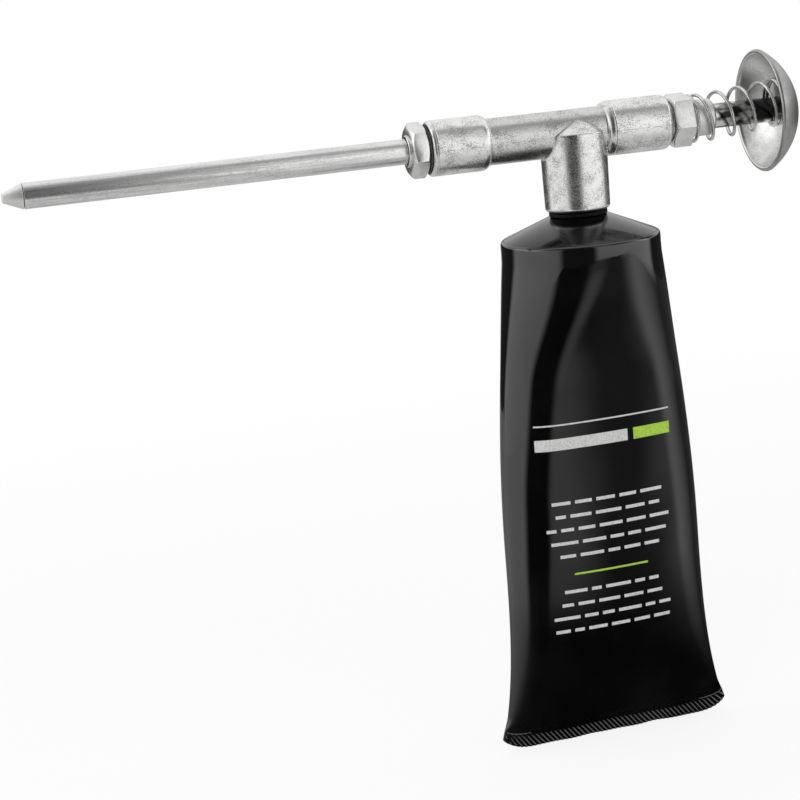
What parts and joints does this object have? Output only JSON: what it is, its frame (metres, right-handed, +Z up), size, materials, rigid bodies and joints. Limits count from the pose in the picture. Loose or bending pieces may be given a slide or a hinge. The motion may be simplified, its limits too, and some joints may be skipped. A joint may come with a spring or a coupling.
{
  "type": "push grease gun",
  "caption": "Thumb-pushed hand grease gun: cast tee with a long pointed nozzle, sprung plunger with a domed button, and a flat-ended squeeze tube of grease screwed in below.",
  "frame": {"origin": "where the barrel's axis crosses the axis of the tube socket, inside the tee that the hand holds", "axes": "+X along the barrel towards the push button, +Z up out of the top of the tee, the tube hangs along -Z and its broad front face looks along -Y"},
  "size_m": [0.199, 0.04, 0.1715],
  "materials": {
    "cast_zinc": "tumbled bright die casting",
    "plated_steel": "bright nickel plate",
    "nozzle_steel": "satin drawn tube",
    "rod_steel": "dark polished",
    "button_nickel": "polished pressing",
    "spring_steel": "bright drawn wire",
    "brass": "turned",
    "seal_rubber": "matt",
    "head_plastic": "satin moulding",
    "sleeve_plastic": "gloss",
    "grease": "soft paste"
  },
  "bodies": {
    "gun_body": {"tee_body": "cast_zinc", "nozzle_nut": "plated_steel", "nozzle_washer": "seal_rubber", "nozzle_tube": "nozzle_steel", "nozzle_tip": "nozzle_steel", "valve_seat": "brass", "check_spring": "spring_steel", "gland_bush": "plated_steel", "packing_ring": "seal_rubber", "packing_washer_front": "plated_steel", "packing_washer_rear": "plated_steel", "return_spring": "spring_steel"},
    "plunger": {"plunger_rod": "rod_steel", "plunger_o_ring": "seal_rubber", "push_button": "button_nickel"},
    "valve_ball": {"check_ball": "plated_steel"},
    "gasket": {"neck_gasket": "seal_rubber"},
    "tube": {"tube_head": "head_plastic", "tube_sleeve": "sleeve_plastic", "grease_fill": "grease"}
  },
  "joints": [
    {"name": "plunger_push", "type": "slide", "parent": "gun_body", "child": "plunger", "axis": [-1, 0, 0], "range_m": [0, 0.016], "stiffness_N_per_m": 400, "springref_m": -0.006, "deforming": ["return_spring"]},
    {"name": "valve_lift", "type": "slide", "parent": "gun_body", "child": "valve_ball", "axis": [-1, 0, 0], "range_m": [0, 0.0012], "stiffness_N_per_m": 60, "springref_m": -0.002, "deforming": ["check_spring"]},
    {"name": "tube_draw", "type": "slide", "parent": "gun_body", "child": "gasket", "axis": [0, 0, -1], "range_m": [0, 0.01]},
    {"name": "tube_turn", "type": "hinge", "parent": "gasket", "child": "tube", "pos_m": [0, 0, -0.0206], "axis": [0, 0, -1], "range_deg": [0, 1800]}
  ],
  "couplings": [
    {"joint": "tube_draw", "follows": "tube_turn", "m_per_rad": 0.0003183}
  ]
}
